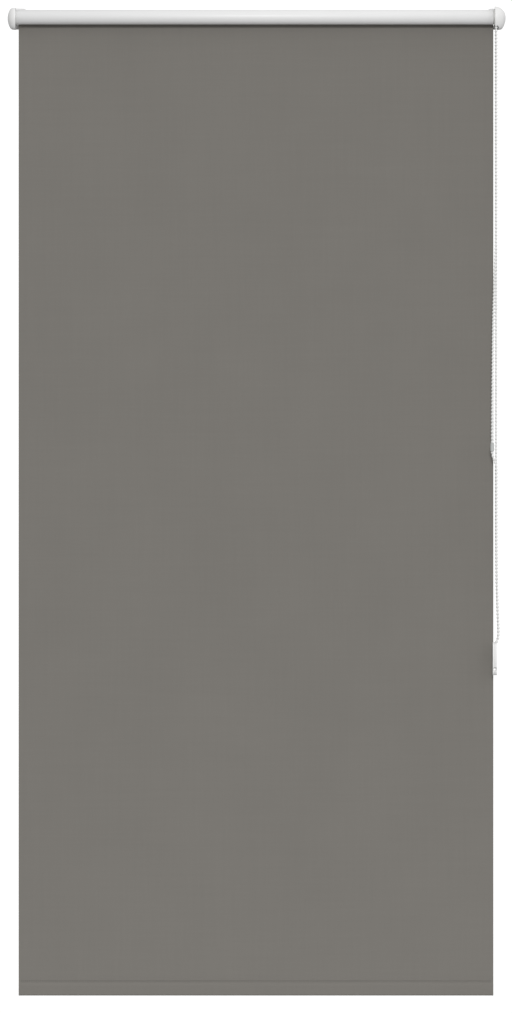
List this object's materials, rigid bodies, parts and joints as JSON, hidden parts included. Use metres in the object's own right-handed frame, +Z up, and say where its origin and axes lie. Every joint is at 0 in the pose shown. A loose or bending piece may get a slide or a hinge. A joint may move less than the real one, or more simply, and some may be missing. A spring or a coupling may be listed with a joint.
{
  "type": "roller blind",
  "caption": "Chain-operated roller blind: fabric on a bare white tube between two wall brackets with domed covers, with a bead chain loop, a chain tensioner and a weighted hem.",
  "frame": {"origin": "on the wall plane at the height of the roller's axis, midway between the two end covers", "axes": "+X towards the chain side along the roller, +Y into the wall, +Z up"},
  "size_m": [0.85, 0.0471, 1.6887],
  "materials": {
    "white_enamel": "satin white enamel",
    "white_plastic": "moulded, semi-gloss",
    "chain_plastic": "glossy moulded beads on a cord",
    "clutch_plastic": "acetal, matte",
    "spring_steel": "drawn wire, zinc plated",
    "bar_aluminium": "extruded",
    "blind_fabric": "plain weave polyester, coated",
    "adhesive_tape": "double-sided film"
  },
  "bodies": {
    "root": {"left_bracket": "white_enamel", "left_bracket_cover": "white_plastic", "right_bracket": "white_enamel", "right_bracket_cover": "white_plastic", "chain_guard": "white_plastic", "clutch_spindle": "clutch_plastic", "spindle_clip": "spring_steel", "chain_loop": "chain_plastic", "chain_on_wheel": "chain_plastic", "chain_connector": "chain_plastic", "tensioner_body": "white_plastic", "tensioner_cover": "white_plastic", "fabric_panel": "blind_fabric"},
    "roller": {"roller_tube": "white_enamel", "clutch_crown": "clutch_plastic", "wrap_spring_inner": "spring_steel", "wrap_spring_outer": "spring_steel", "idle_plug": "white_plastic", "idle_plug_cap": "white_plastic", "idle_spring": "spring_steel", "fixing_tape": "adhesive_tape", "fabric_lead": "blind_fabric"},
    "chain_wheel": {"chain_wheel": "clutch_plastic"},
    "idle_pin": {"idle_pin": "spring_steel"},
    "bottom_bar": {"bottom_bar": "bar_aluminium", "bottom_bar_cap_left": "white_plastic", "bottom_bar_cap_right": "white_plastic", "hem_pocket": "blind_fabric"}
  },
  "joints": [
    {"name": "roller_spin", "type": "hinge", "parent": "root", "child": "roller", "pos_m": [0, -0.027, 0], "axis": [1, 0, 0], "range_deg": [0, 5760]},
    {"name": "chain_wheel_spin", "type": "hinge", "parent": "root", "child": "chain_wheel", "pos_m": [0, -0.027, 0], "axis": [1, 0, 0], "range_deg": [0, 5760]},
    {"name": "blind_lift", "type": "slide", "parent": "root", "child": "bottom_bar", "axis": [0, 0, 1], "range_m": [0, 1.58], "deforming": ["fabric_panel"]},
    {"name": "idle_pin_push", "type": "slide", "parent": "roller", "child": "idle_pin", "axis": [1, 0, 0], "range_m": [0, 0.006], "stiffness_N_per_m": 300, "springref_m": -0.01, "deforming": ["idle_spring"]}
  ],
  "couplings": [
    {"joint": "chain_wheel_spin", "follows": "roller_spin", "ratio": 1},
    {"joint": "blind_lift", "follows": "roller_spin", "m_per_rad": 0.0157}
  ]
}
